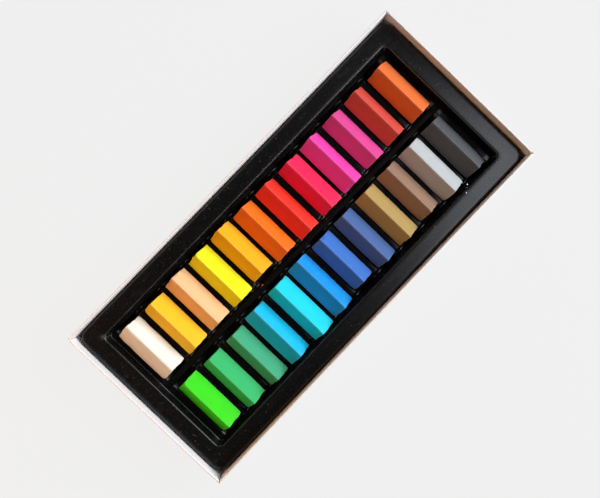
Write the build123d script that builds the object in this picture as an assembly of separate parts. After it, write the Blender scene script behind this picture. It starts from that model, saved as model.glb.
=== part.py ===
from build123d import *
import math
import os

# A shallow card tray with a thin black formed insert and 24 half-length square pastels.
# The origin is under the middle of the tray. +X runs along the tray, +Z is up. Millimetres.

# Card tray: base and walls folded from one sheet, every wall folded over to two plies
tray_length = 222.0
tray_width = 100.5
tray_height = 19.0
card_ply = 0.45
base_thickness = 0.8
wall_thickness = 2 * card_ply
fold_radius = 0.4           # rounding of the fold along the top of each wall
foot_radius = 0.3           # crease between base and walls
tuck_width = 9.0            # foot of each inner ply, turned in flat on the base
tuck_gap = 0.6              # mitre gap between neighbouring tucks
seam_width = 0.25           # open seam in each inside corner
seam_depth = 0.8
relief_radius = 1.0         # dip of an end wall's fold where it meets a long wall

# Formed insert: one plastic sheet, the same thickness all over
sheet = 0.5
rim_drop = 4.9              # top of the tray's wall down to the flat rim
insert_gap = 0.3            # insert's foot to the tray's wall
foot_gap = 0.1              # insert's underside to the card below it
skirt_draft = 1.0           # degrees
rim_corner_radius = 6.5
rim_roll_radius = 1.5       # rolled outer edge of the rim
rim_roll_bevel = 0.6        # the same edge on the underside
well_length = 200.0         # at the rim
well_width = 79.0
well_corner_radius = 1.6
well_edge_radius = 0.9
well_foot_radius = 0.5
well_draft = 7.0            # degrees
bar_drop = 6.1              # rim down to the bar between the rows
bar_width = 2.8
ridge_drop = 6.6            # rim down to the ridges between the grooves
ridge_radius = 1.0
groove_flank = 52.5         # degrees from level
groove_floor = 3.9          # flat along the bottom of each groove, before its corners are rounded
groove_end_draft = 3.0      # degrees
groove_end_ledge = 0.2      # groove's outer end to the foot of the well's long wall
pitch = 16.05               # from one pastel to the next
columns = 12

# Pastels: square sticks standing on one edge in their grooves, most of them leaning on a flank
stick_side = 10.0
stick_edge_radius = 1.0     # long edges worn round, ends cut square
seat_gap = 0.2              # stick's flats to the groove's flanks

# Each row from the -X end: colour, length as cut, how far it lies from its groove's middle, and
# the flank that it leans on: 1 for the one towards +X, -1 for the other, 0 where it stands upright
row_a = [
    ("white", 31.8, -0.7, -1),
    ("gold", 31.8, -1.2, 1),
    ("peach", 32.5, -0.6, 1),
    ("yellow", 32.4, -0.9, 1),
    ("amber", 31.4, 0.2, 1),
    ("orange", 32.2, -1.0, -1),
    ("red", 33.0, -1.4, -1),
    ("crimson", 32.3, -1.5, 1),
    ("magenta", 32.5, -1.2, -1),
    ("purple", 31.9, -1.0, 0),
    ("dark_red", 31.5, -0.8, -1),
    ("vermilion", 32.0, -1.3, 1),
]
row_b = [
    ("lime", 31.6, 0.0, 1),
    ("green", 31.8, -1.0, 1),
    ("sea_green", 32.3, -1.3, 1),
    ("turquoise", 33.4, -0.8, -1),
    ("cyan", 34.0, -0.8, 1),
    ("sky_blue", 33.8, 0.0, -1),
    ("ultramarine", 31.2, 0.8, 1),
    ("navy", 32.5, 0.4, 1),
    ("ochre", 32.4, 0.4, 1),
    ("brown", 31.6, 1.1, 1),
    ("light_grey", 32.8, 0.1, 1),
    ("black", 33.2, 0.0, 1),
]

# Worked out from the above
inner_length = tray_length - 2 * wall_thickness
inner_width = tray_width - 2 * wall_thickness
rim_z = tray_height - rim_drop
skirt_foot_z = base_thickness + card_ply + foot_gap
bar_z = rim_z - bar_drop
ridge_z = rim_z - ridge_drop
flank = math.radians(groove_flank)
groove_corner_radius = stick_edge_radius + seat_gap
groove_low_z = base_thickness + foot_gap + sheet
lean_angle = groove_flank - 45
stick_core = (stick_side / 2 - stick_edge_radius) * math.sqrt(2)
stick_drop = stick_core * math.cos(math.radians(lean_angle)) + stick_edge_radius
stick_axis_z = groove_low_z + seat_gap + stick_drop
clear_of_flank = (stick_side / 2 + seat_gap - (seat_gap + stick_drop) * math.cos(flank)) / math.sin(flank)
lean_shift = groove_floor / 2 - clear_of_flank
groove_inner_y = bar_width / 2
well_slope = math.tan(math.radians(well_draft))
groove_outer_y = well_width / 2 - bar_drop * well_slope - groove_end_ledge
row_middle_y = (groove_inner_y + groove_outer_y) / 2
above = 5.0                 # how far a cutting shape reaches past what it cuts


def corner_seam(side_x, side_y):
    """A thin upright slot from an inside corner out towards the outer one."""
    slot = Box(2 * seam_depth, seam_width, tray_height)
    turned = Rot(0, 0, 45 * side_x * side_y) * slot
    middle_z = base_thickness + tray_height / 2
    return Pos(side_x * inner_length / 2, side_y * inner_width / 2, middle_z) * turned


def fold_relief(side_x, side_y):
    """A quarter-round dip in an end wall's fold, beside the long wall."""
    quarter = extrude(Plane.YZ * Circle(relief_radius), wall_thickness, both=True)
    quarter &= Pos(0, -relief_radius, 0) * Box(tray_length, 2 * relief_radius, 2 * relief_radius)
    turned = quarter if side_y > 0 else Rot(0, 0, 180) * quarter
    wall_x = side_x * (tray_length - wall_thickness) / 2
    return Pos(wall_x, side_y * inner_width / 2, tray_height) * turned


def tuck(run, outward):
    """One tuck on the base: a strip with mitred ends, along a wall that is `run` long."""
    half = run / 2 - tuck_gap
    strip = Polyline(
        (-half, 0), (half, 0), (half - tuck_width, tuck_width),
        (tuck_width - half, tuck_width), (-half, 0),
    )
    plate = extrude(make_face(strip), card_ply)
    return Pos(0, -outward, base_thickness) * plate


def carton_tray():
    """The tray as folded: base, four double walls, tucked feet and open corner seams."""
    outside = extrude(Rectangle(tray_length, tray_width), tray_height)
    outside = fillet(outside.edges().group_by(Axis.Z)[0], foot_radius)
    hollow = Pos(0, 0, base_thickness) * extrude(Rectangle(inner_length, inner_width), tray_height)
    tray = outside - hollow
    tray = fillet(tray.edges().group_by(Axis.Z)[-1], fold_radius)
    for quarter in (0, 180):
        tray += Rot(0, 0, quarter) * tuck(inner_length, inner_width / 2)
        tray += Rot(0, 0, quarter + 90) * tuck(inner_width, inner_length / 2)
    for side_x in (-1, 1):
        for side_y in (-1, 1):
            tray -= corner_seam(side_x, side_y)
            tray -= fold_relief(side_x, side_y)
    return tray


def skirted_block(depth):
    """The insert's outside, taken `depth` into the sheet: a drafted block, its top edge still sharp."""
    foot_length = inner_length - 2 * insert_gap - 2 * depth
    foot_width = inner_width - 2 * insert_gap - 2 * depth
    outline = RectangleRounded(foot_length, foot_width, rim_corner_radius - depth)
    return extrude(outline, rim_z - depth, taper=skirt_draft)


def well(depth):
    """The open well down to the bar, its walls and floor taken `depth` into the sheet."""
    floor_z = bar_z - depth
    narrower = 2 * (rim_z - floor_z) * well_slope - 2 * depth
    floor = RectangleRounded(
        well_length - narrower, well_width - narrower, well_corner_radius + depth
    )
    return Pos(0, 0, floor_z) * extrude(floor, rim_z + above - floor_z, taper=-well_draft)


def groove_wave(depth):
    """Twelve grooves side by side in one profile, taken `depth` into the sheet, its corners sharp."""
    low_z = groove_low_z - depth
    floor_half = groove_floor / 2 + depth * math.tan(flank / 2)
    ridge_top = ridge_z - depth
    ridge_half = pitch / 2 - floor_half - (ridge_top - low_z) / math.tan(flank)
    top_z = bar_z + above
    half_row = (columns - 1) / 2 * pitch
    end_x = half_row + floor_half + (top_z - low_z) / math.tan(flank)
    points = [(-end_x, top_z)]
    for column in range(columns):
        x = column * pitch - half_row
        if column:
            points.append((x - pitch / 2 + ridge_half, ridge_top))
        points += [(x - floor_half, low_z), (x + floor_half, low_z)]
        if column < columns - 1:
            points.append((x + pitch / 2 - ridge_half, ridge_top))
    points.append((end_x, top_z))
    return make_face(Polyline(*points, points[0]))


def rounded_wave():
    """The profile that the insert's upper side shows: rounded bottoms and round-shouldered ridges."""
    wave = groove_wave(0)
    bottoms = [v for v in wave.vertices() if v.Y < groove_low_z + sheet / 2]
    wave = fillet(bottoms, groove_corner_radius)
    shoulders = [v for v in wave.vertices() if abs(v.Y - ridge_z) < sheet / 100]
    return fillet(shoulders, ridge_radius)


def groove_row(wave, depth):
    """The +Y row, cut to a profile, as one cutting shape with drafted ends."""
    length = 2 * groove_outer_y + 2 * above
    prism = extrude(Plane.XZ * wave, length / 2, both=True)
    slope = math.tan(math.radians(groove_end_draft))
    low_z = -above
    high_z = bar_z + above
    low_in = (bar_z - low_z) * slope
    high_out = (high_z - bar_z) * slope
    ends = Polyline(
        (groove_inner_y - depth + low_in, low_z),
        (groove_outer_y + depth - low_in, low_z),
        (groove_outer_y + depth + high_out, high_z),
        (groove_inner_y - depth - high_out, high_z),
        (groove_inner_y - depth + low_in, low_z),
    )
    stop = extrude(Plane.YZ * make_face(ends), tray_length, both=True)
    return prism & stop


def near_well(edge):
    """Whether an edge at the rim goes round the well, and not round the outside."""
    middle = edge.center()
    return max(abs(middle.X) - well_length / 2, abs(middle.Y) - well_width / 2) < 1.0


def skin():
    """The insert's upper side: rolled rim, round edge of the well and round foot of its walls."""
    block = skirted_block(0)
    block = fillet(block.edges().group_by(Axis.Z)[-1], rim_roll_radius)
    cavity = well(0)
    cavity = fillet(cavity.edges().group_by(Axis.Z)[0], well_foot_radius)
    body = block - cavity
    rim_edges = body.edges().group_by(Axis.Z)[-1]
    body = fillet(rim_edges.filter_by(near_well), well_edge_radius)
    row = groove_row(rounded_wave(), 0)
    return body - row - Rot(0, 0, 180) * row


def lining():
    """The insert's underside: the same form one sheet deeper, with plain corners."""
    block = skirted_block(sheet)
    block = chamfer(block.edges().group_by(Axis.Z)[-1], rim_roll_bevel)
    row = groove_row(groove_wave(sheet), sheet)
    return block - well(sheet) - row - Rot(0, 0, 180) * row


def insert_tray():
    """The insert: what lies between its skin and its lining, with the skirt trimmed."""
    formed = skin() - lining()
    below_skirt = extrude(Rectangle(tray_length, tray_width), skirt_foot_z)
    below_well = extrude(Rectangle(well_length, well_width), skirt_foot_z)
    return formed - (below_skirt - below_well)


def stick(length):
    """One square stick on its edge, its long edges worn round."""
    square = Rot(0, 0, 45) * RectangleRounded(stick_side, stick_side, stick_edge_radius)
    return extrude(Plane.XZ * square, length / 2, both=True)


def pastel(column, side_y, length, shift, lean):
    """A stick laid in its groove; side_y is +1 for the row at +Y and -1 for the other."""
    x = (column - (columns - 1) / 2) * pitch + lean * lean_shift
    turned = Rot(0, -lean * lean_angle, 0) * stick(length)
    return Pos(x, side_y * row_middle_y + shift, stick_axis_z) * turned


def main():
    os.makedirs("parts", exist_ok=True)
    export_step(carton_tray(), "parts/carton_tray.step")
    export_step(insert_tray(), "parts/insert_tray.step")
    for side_y, row in ((1, row_a), (-1, row_b)):
        for column, (colour, length, shift, lean) in enumerate(row):
            export_step(pastel(column, side_y, length, shift, lean), f"parts/pastel_{colour}.step")


main()
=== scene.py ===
"""Dresses a drawer box of soft pastels: the folded card tray, the formed black insert and the sticks."""

import logging
import math
from collections.abc import Callable
from dataclasses import dataclass, field
from enum import Enum

import bpy
import numpy as np
from mathutils import Euler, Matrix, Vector


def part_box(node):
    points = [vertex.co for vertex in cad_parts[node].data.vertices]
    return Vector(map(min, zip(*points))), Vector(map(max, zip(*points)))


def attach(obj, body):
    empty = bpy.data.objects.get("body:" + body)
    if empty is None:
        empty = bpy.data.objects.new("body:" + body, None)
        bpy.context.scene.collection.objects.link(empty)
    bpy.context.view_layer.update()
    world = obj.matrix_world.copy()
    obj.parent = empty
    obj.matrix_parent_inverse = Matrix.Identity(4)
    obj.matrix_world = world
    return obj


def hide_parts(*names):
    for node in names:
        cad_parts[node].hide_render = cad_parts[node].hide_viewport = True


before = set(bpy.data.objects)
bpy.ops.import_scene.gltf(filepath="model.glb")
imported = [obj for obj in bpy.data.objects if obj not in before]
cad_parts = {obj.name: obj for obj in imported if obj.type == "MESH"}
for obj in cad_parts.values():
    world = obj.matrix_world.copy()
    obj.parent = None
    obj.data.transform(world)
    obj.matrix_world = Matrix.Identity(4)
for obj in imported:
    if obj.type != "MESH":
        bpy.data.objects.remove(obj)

log = logging.getLogger("pastel_box")
MM = 0.001
Colour = tuple[float, float, float]
Place = tuple[float, float, float]


# ---------------------------------------------------------------- numbers and colours


def linear(red: int, green: int, blue: int) -> Colour:
    """A colour read in 0 to 255 steps, as the linear light it stands for.

    Args:
        red: Red step.
        green: Green step.
        blue: Blue step.

    Returns:
        Three linear values: (c + 0.055) / 1.055 to the power 2.4, or c / 12.92 for the darkest.
    """
    steps = np.array([red, green, blue]) / 255.0
    bright = ((steps + 0.055) / 1.055) ** 2.4
    return tuple(float(v) for v in np.where(steps <= 0.04045, steps / 12.92, bright))


def smooth(low: float, high: float, values: np.ndarray) -> np.ndarray:
    """Eases from 0 at low to 1 at high: t * t * (3 - 2t) of the clipped share t."""
    share = np.clip((values - low) / (high - low), 0.0, 1.0)
    return share * share * (3.0 - 2.0 * share)


def lattice_value(cells: np.ndarray, seed: int) -> np.ndarray:
    """A repeatable value from -1 to 1 for each whole-numbered cell.

    Args:
        cells: Whole numbers, shape (..., 3).
        seed: Picks one of many fields.

    Returns:
        The sine hash of each cell: the fraction of a large sine, stretched to -1..1.
    """
    dot = cells @ np.array([127.1, 311.7, 74.7]) + seed * 19.19
    wave = np.sin(dot) * 43758.5453
    return 2.0 * (wave - np.floor(wave)) - 1.0


def soft_noise(points: np.ndarray, cell: float, seed: int) -> np.ndarray:
    """A smooth random field.

    Args:
        points: Places in millimetres, shape (..., 3).
        cell: Size of its lumps, in millimetres.
        seed: Picks one of many fields.

    Returns:
        Values from -1 to 1: the eight corner values of each cell, eased between in x, y and z.
    """
    scaled = points / cell
    base = np.floor(scaled)
    part = scaled - base
    part = part * part * (3.0 - 2.0 * part)
    total = np.zeros(points.shape[:-1])
    for corner in np.ndindex(2, 2, 2):
        step = np.array(corner, float)
        weight = np.prod(np.where(step > 0, part, 1.0 - part), axis=-1)
        total += weight * lattice_value(base + step, seed)
    return total


# ---------------------------------------------------------------- meshes from grids


class Skin:
    """Gathers grids of points and their quads into one mesh."""

    def __init__(self) -> None:
        """Starts with no points."""
        self.points: list[np.ndarray] = []
        self.quads: list[np.ndarray] = []
        self.plates: list[list[int]] = []
        self.count = 0

    def add(self, points: np.ndarray) -> np.ndarray:
        """Adds a grid of points without faces.

        Args:
            points: Shape (rows, columns, 3), in millimetres.

        Returns:
            The index of each point, shape (rows, columns).
        """
        rows, columns = points.shape[:2]
        index = self.count + np.arange(rows * columns).reshape(rows, columns)
        self.points.append(points.reshape(-1, 3))
        self.count += rows * columns
        return index

    def grid(self, points: np.ndarray, closed: bool = False) -> np.ndarray:
        """Adds a grid of points and a quad between each four that meet.

        Args:
            points: Shape (rows, columns, 3). Seen from outside, columns run right and rows run up.
            closed: Joins the last column to the first.

        Returns:
            The index of each point, shape (rows, columns).
        """
        index = self.add(points)
        self.weave(index, closed)
        return index

    def weave(self, index: np.ndarray, closed: bool = False) -> None:
        """Adds the quads between the points of a grid of indices.

        Args:
            index: Shape (rows, columns). Seen from outside, columns run right and rows run up.
            closed: Joins the last column to the first.
        """
        if closed:
            index = np.hstack([index, index[:, :1]])
        corners = (index[:-1, :-1], index[:-1, 1:], index[1:, 1:], index[1:, :-1])
        self.quads.append(np.stack(corners, axis=-1).reshape(-1, 4))

    def plate(self, loop: np.ndarray) -> None:
        """Closes a loop of indices with one flat face, counter-clockwise from outside."""
        self.plates.append([int(i) for i in loop])

    def mesh(self, name: str) -> bpy.types.Object:
        """Makes the object, smooth-shaded and in metres, of what was gathered.

        Args:
            name: The name of the object and of its mesh.

        Returns:
            The object, linked to the scene.
        """
        places = np.vstack(self.points) * MM
        faces = np.vstack(self.quads).tolist() + self.plates
        data = bpy.data.meshes.new(name)
        data.from_pydata(places.tolist(), [], faces)
        data.polygons.foreach_set("use_smooth", np.ones(len(faces), bool))
        data.update()
        piece = bpy.data.objects.new(name, data)
        bpy.context.scene.collection.objects.link(piece)
        return piece


def paint(piece: bpy.types.Object, name: str, values: np.ndarray) -> None:
    """Stores one value, or one colour, for each point of a mesh.

    Args:
        piece: The object whose mesh is painted.
        name: The attribute that a material reads.
        values: Shape (points,) for a value, or (points, 3) for a colour.
    """
    if values.ndim == 1:
        layer = piece.data.attributes.new(name, "FLOAT", "POINT")
        layer.data.foreach_set("value", values.astype(np.float32))
        return
    layer = piece.data.attributes.new(name, "FLOAT_COLOR", "POINT")
    full = np.hstack([values, np.ones((len(values), 1))])
    layer.data.foreach_set("color", full.astype(np.float32).ravel())


# ---------------------------------------------------------------- shader arithmetic


class Signal:
    """One output of a shader node. Arithmetic on it adds Math nodes."""

    def __init__(self, bench: "Bench", socket: bpy.types.NodeSocket) -> None:
        """Keeps the socket and the bench that its nodes stand on."""
        self.bench = bench
        self.socket = socket

    def math(self, operation: str, *values: "Signal | float") -> "Signal":
        """Adds a Math node on the given values, in their order."""
        inputs = dict(enumerate(values))
        return self.bench.node("ShaderNodeMath", {"operation": operation}, inputs)

    def __add__(self, other: "Signal | float") -> "Signal":
        """Sum."""
        return self.math("ADD", self, other)

    def __sub__(self, other: "Signal | float") -> "Signal":
        """Difference."""
        return self.math("SUBTRACT", self, other)

    def __rsub__(self, other: float) -> "Signal":
        """Difference from a number."""
        return self.math("SUBTRACT", other, self)

    def __mul__(self, other: "Signal | float") -> "Signal":
        """Product."""
        return self.math("MULTIPLY", self, other)

    __radd__ = __add__
    __rmul__ = __mul__

    def step(self, low: float, high: float) -> "Signal":
        """Eases from 0 where this is low to 1 where it is high; low may be the larger."""
        inputs = {"Value": self, "From Min": low, "From Max": high}
        return self.bench.node("ShaderNodeMapRange", {"interpolation_type": "SMOOTHSTEP"}, inputs)

    def bounded(self) -> "Signal":
        """This, kept between 0 and 1."""
        return self.bench.node("ShaderNodeClamp", {}, {"Value": self})


class Bench:
    """The node tree of one material, and short ways to add to it."""

    def __init__(self, name: str) -> None:
        """Starts a material with an empty tree.

        Args:
            name: The material's name.
        """
        self.material = bpy.data.materials.new(name)
        self.material.use_nodes = True
        self.tree = self.material.node_tree
        self.tree.nodes.clear()
        self.place = self.node("ShaderNodeTexCoord", {}, {}, "Object")

    def node(
        self,
        kind: str,
        settings: dict[str, object],
        inputs: dict[str | int, object],
        output: str | int = 0,
    ) -> Signal:
        """Adds one node.

        Args:
            kind: The node's type.
            settings: Its own options, set before its inputs.
            inputs: A value or a Signal for each named or numbered input.
            output: The output that the Signal stands for.

        Returns:
            The Signal of that output.
        """
        made = self.tree.nodes.new(kind)
        for key, value in settings.items():
            setattr(made, key, value)
        for key, value in inputs.items():
            if isinstance(value, Signal):
                self.tree.links.new(value.socket, made.inputs[key])
            else:
                made.inputs[key].default_value = value
        return Signal(self, made.outputs[output])

    def stretched(self, x: float, y: float, z: float, at: Signal | None = None) -> Signal:
        """Object coordinates, or those given, scaled along each axis."""
        return self.node("ShaderNodeMapping", {}, {"Vector": at or self.place, "Scale": (x, y, z)})

    def shifted(self, along: float) -> Signal:
        """Object coordinates moved along a slanting line, in metres."""
        return self.node("ShaderNodeMapping", {}, {"Vector": self.place, "Location": (along, -along, along)})

    def noise(
        self,
        grain: float,
        detail: float = 3.0,
        rough: float = 0.5,
        at: Signal | None = None,
    ) -> Signal:
        """Noise from about 0.25 to 0.75.

        Args:
            grain: Size of its lumps, in millimetres.
            detail: How many finer layers it has.
            rough: How strong the finer layers are.
            at: Where it is read, or None for the object's own coordinates.

        Returns:
            The noise.
        """
        inputs = {"Vector": at or self.place, "Scale": 1.0 / (grain * MM)}
        return self.node("ShaderNodeTexNoise", {}, {**inputs, "Detail": detail, "Roughness": rough})

    def specks(self, spacing: float, at: Signal | None = None) -> tuple[Signal, Signal]:
        """Scattered points.

        Args:
            spacing: How far apart they are, in millimetres.
            at: Where they are read, or None for the object's own coordinates.

        Returns:
            The distance to the nearest point, in spacings, and a random value that belongs to it.
        """
        inputs = {"Vector": at or self.place, "Scale": 1.0 / (spacing * MM)}
        near = self.node("ShaderNodeTexVoronoi", {}, inputs, "Distance")
        colour = Signal(self, near.socket.node.outputs["Color"])
        own = self.node("ShaderNodeSeparateColor", {}, {"Color": colour}, "Red")
        return near, own

    def stored(self, name: str, output: str = "Fac") -> Signal:
        """A value or a colour painted on the mesh."""
        return self.node("ShaderNodeAttribute", {"attribute_name": name}, {}, output)

    def blend(self, share: Signal | float, first: Signal | Colour, second: Signal | Colour) -> Signal:
        """The first colour where share is 0, and the second where it is 1."""
        inputs = {0: share, 6: self.rgba(first), 7: self.rgba(second)}
        return self.node("ShaderNodeMix", {"data_type": "RGBA"}, inputs, 2)

    def tinted(self, share: Signal | float, first: Signal | Colour, second: Signal | Colour) -> Signal:
        """The first colour multiplied by the second, as far as share says."""
        inputs = {0: share, 6: self.rgba(first), 7: self.rgba(second)}
        return self.node("ShaderNodeMix", {"data_type": "RGBA", "blend_type": "MULTIPLY"}, inputs, 2)

    @staticmethod
    def rgba(colour: Signal | Colour) -> object:
        """A plain colour with its fourth value, or the Signal as it is."""
        return colour if isinstance(colour, Signal) else (*colour, 1.0)

    def bump(self, height: Signal, strength: float, reach: float, under: Signal | None = None) -> Signal:
        """A bump that tilts the surface's normals.

        Args:
            height: How high the surface stands.
            strength: How strongly the bump shows.
            reach: How high a height of 1 stands, in millimetres.
            under: Another bump that this one is laid over, or None.

        Returns:
            The normal.
        """
        inputs = {"Height": height, "Strength": strength, "Distance": reach * MM}
        if under is not None:
            inputs["Normal"] = under
        return self.node("ShaderNodeBump", {}, inputs, "Normal")

    def surface(self, inputs: dict[str | int, object]) -> Signal:
        """A Principled surface."""
        return self.node("ShaderNodeBsdfPrincipled", {}, inputs)

    def finish(self, inputs: dict[str | int, object]) -> bpy.types.Material:
        """Ends the tree with a Principled surface and returns the material."""
        return self.end(self.surface(inputs))

    def end(self, surface: Signal) -> bpy.types.Material:
        """Joins a surface to the material's output.

        Args:
            surface: The last shader.

        Returns:
            The material.
        """
        last = self.tree.nodes.new("ShaderNodeOutputMaterial")
        self.tree.links.new(surface.socket, last.inputs["Surface"])
        return self.material


# ---------------------------------------------------------------- finishes


@dataclass(frozen=True)
class WhiteCard:
    """Smooth coated card: almost white, with fibres, scuffs and pigment dust, and painted shade in the grey
    of board along its corner seams.

    Grains and spacings are in millimetres. A share says how much of its colour shows at most.
    """

    face: Colour = linear(246, 243, 238)
    scuff: Colour = linear(176, 166, 152)
    smudge: Colour = linear(196, 168, 150)
    # Painted shade of the corner seams, in the grey of board.
    core: Colour = linear(92, 84, 76)
    cloud_grain: float = 14.0
    cloud_share: float = 0.02
    fibre_grain: float = 0.5
    fibre_share: float = 0.03
    fibre_height: float = 0.04
    rub_grain: float = 1.1
    rub_share: float = 0.04
    dot_spacing: float = 2.3
    dot_share: float = 0.12
    roughness: float = 0.46

    def material(self) -> bpy.types.Material:
        """Builds the card's material.

        Returns:
            A Principled surface, with painted shade in the grey of board along the corner seams that the mesh
            marks.
        """
        bench = Bench("white_card")
        cloud = bench.noise(self.cloud_grain, 4.0).step(0.42, 0.72)
        fibres = bench.noise(self.fibre_grain, 5.0, 0.65, bench.stretched(0.25, 1.0, 1.0))
        rub = bench.noise(self.rub_grain, 5.0, 0.7).step(0.56, 0.78) * bench.stored("worn")
        near, own = bench.specks(self.dot_spacing)
        dots = near.step(0.16, 0.07) * own.step(0.72, 0.8)
        body = bench.blend(cloud * self.cloud_share, self.face, self.smudge)
        body = bench.blend(rub * self.rub_share, body, self.scuff)
        body = bench.blend(dots * self.dot_share, body, self.smudge)
        body = bench.tinted(fibres.step(0.7, 0.3) * self.fibre_share, body, self.scuff)
        # Painted shade: the corner seams turn the grey of board.
        body = bench.blend(bench.stored("seam_shade"), body, self.core)
        rough = self.roughness + cloud * 0.12 + rub * 0.25
        relief = bench.bump(fibres, 0.04, self.fibre_height)
        return bench.finish(
            {"Base Color": body, "Roughness": rough, "Normal": relief, "Specular IOR Level": 0.35}
        )


@dataclass(frozen=True)
class BlackSheet:
    """Thin formed black plastic: semi-gloss on top and matt in its depths, with pale dust and pigment, the
    dust thinned in its depths as painted shade, and a painted glint at one corner of the well.

    Grains and spacings are in millimetres. A share says how much of its colour shows at most.
    """

    body: Colour = (0.0038, 0.0036, 0.0036)
    dust: Colour = linear(150, 146, 142)
    smear_grain: float = 3.0
    smear_share: float = 0.005
    mote_spacing: float = 1.7
    mote_share: float = 0.5
    powder_spacing: float = 0.7
    powder_share: float = 0.16
    patch_grain: float = 0.9
    stain_share: float = 0.01
    roughness: float = 0.27
    deep_roughness: float = 0.2
    deep_specular: float = 0.05

    def material(self) -> bpy.types.Material:
        """Builds the sheet's material.

        Returns:
            A glossy and a matt Principled surface, mixed by the mesh's deep attribute.
        """
        bench = Bench("black_sheet")
        streaks = bench.noise(self.smear_grain, 5.0, 0.6, bench.stretched(0.35, 1.0, 1.0))
        smear = streaks.step(0.5, 0.75)
        near, own = bench.specks(self.mote_spacing)
        fine, fine_own = bench.specks(self.powder_spacing)
        motes = near.step(0.17, 0.08) * own.step(0.74, 0.9)
        powder = fine.step(0.32, 0.16) * fine_own.step(0.80, 0.92)
        stain = bench.stored("stain")
        patch = bench.noise(self.patch_grain, 5.0, 0.7).step(0.44, 0.72)
        deep = bench.stored("deep")
        # Painted shade: pale dust and streaky smear thin out to 30 % in the depths and down the outer side,
        # so these read darker.
        shallow = 1.0 - deep * 0.7
        dusty = (motes * self.mote_share + powder * self.powder_share).bounded()
        colour = bench.blend(smear * shallow * self.smear_share, self.body, self.dust)
        colour = bench.blend(dusty * shallow, colour, self.dust)
        pigment = bench.stored("pigment", "Color")
        colour = bench.blend((patch * stain * self.stain_share).bounded(), colour, pigment)
        # Painted glint: the dust colour laid on the well's -X, +Y corner where the mesh marks it, standing in
        # for a highlight.
        colour = bench.blend(bench.stored("rubbed_and_glint") * (0.5 + patch * 0.5), colour, self.dust)
        rough = self.roughness + smear * 0.04 + patch * stain * 0.1
        relief = bench.bump(bench.noise(0.35, 3.0), 0.06, 0.03)
        shared = {"Base Color": colour, "Normal": relief, "IOR": 1.5}
        gloss = bench.surface({**shared, "Roughness": rough})
        dull = {"Roughness": rough + self.deep_roughness, "Specular IOR Level": self.deep_specular}
        matt = bench.surface({**shared, **dull})
        return bench.end(bench.node("ShaderNodeMixShader", {}, {0: deep, 1: gloss, 2: matt}))


@dataclass(frozen=True)
class Chalk:
    """Pressed pigment: matt and grainy, paler where it is worn, with specks of other colours.

    Grains and spacings are in millimetres. A share says how much of its colour shows at most.
    """

    name: str
    pigment: Colour
    seed: int
    stray: Colour = linear(232, 226, 214)
    bloom: Colour = (0.8, 0.78, 0.74)
    bloom_mix: float = 0.45
    shade: float = 0.72
    cloud_grain: float = 5.0
    cloud_share: float = 0.16
    streak_grain: float = 0.7
    streak_share: float = 0.10
    grit_grain: float = 0.22
    grit_share: float = 0.2
    wear_grain: float = 0.8
    wear_share: float = 0.3
    pit_spacing: float = 1.1
    speck_spacing: float = 1.9
    speck_share: float = 0.5
    roughness: float = 0.62

    def material(self) -> bpy.types.Material:
        """Builds the material of one colour of stick.

        Returns:
            A Principled surface: the pigment, darker in clouds and streaks and paler where it is worn, with
            specks, pits and grit.
        """
        bench = Bench("pastel_" + self.name)
        where = bench.shifted(self.seed * 0.37)
        cloud = bench.noise(self.cloud_grain, 3.0, 0.5, where)
        lines = bench.noise(self.streak_grain, 4.0, 0.6, bench.stretched(1.0, 0.12, 1.0, where))
        grit = bench.noise(self.grit_grain, 3.0, 0.6, where)
        pits, _ = bench.specks(self.pit_spacing, where)
        near, own = bench.specks(self.speck_spacing, where)
        wear = bench.noise(self.wear_grain, 4.0, 0.7, where).step(0.38, 0.68)
        # Paler where the long edges and the ends are worn.
        rubbed_and_glint = (bench.stored("worn") * 0.75 + bench.stored("tip") * 0.5) * wear
        mix = self.bloom_mix
        pale = tuple((1 - mix) * c + mix * d for c, d in zip(self.pigment, self.bloom))
        deep = tuple(self.shade * c for c in self.pigment)
        dark = cloud.step(0.35, 0.75) * self.cloud_share + lines.step(0.4, 0.75) * self.streak_share
        body = bench.blend(dark, self.pigment, deep)
        body = bench.blend((rubbed_and_glint * self.wear_share).bounded(), body, pale)
        body = bench.blend(near.step(0.12, 0.06) * own.step(0.93, 0.95) * self.speck_share, body, self.stray)
        body = bench.tinted(grit.step(0.4, 0.25) * self.grit_share, body, deep)
        relief = bench.bump(grit, 0.2, 0.05)
        relief = bench.bump(lines, 0.12, 0.08, relief)
        relief = bench.bump(pits.step(0.0, 0.16), 0.15, 0.08, relief)
        inputs = {"Base Color": body, "Roughness": self.roughness + grit * 0.2, "Normal": relief}
        return bench.finish({**inputs, "IOR": 1.5, "Specular IOR Level": 0.35})


@dataclass(frozen=True)
class Laid:
    """One stick as it is laid in its groove.

    colour is how it looks in full light. breadth is how wide it shows from above, and aside how far its axis
    is from the groove's middle towards +X, both in millimetres. roll is how far its upper edge leans towards
    +X, in degrees. wear is the radius of its long edges, in millimetres.
    """

    colour: Colour
    breadth: float
    aside: float
    roll: float
    wear: float = 0.5


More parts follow.
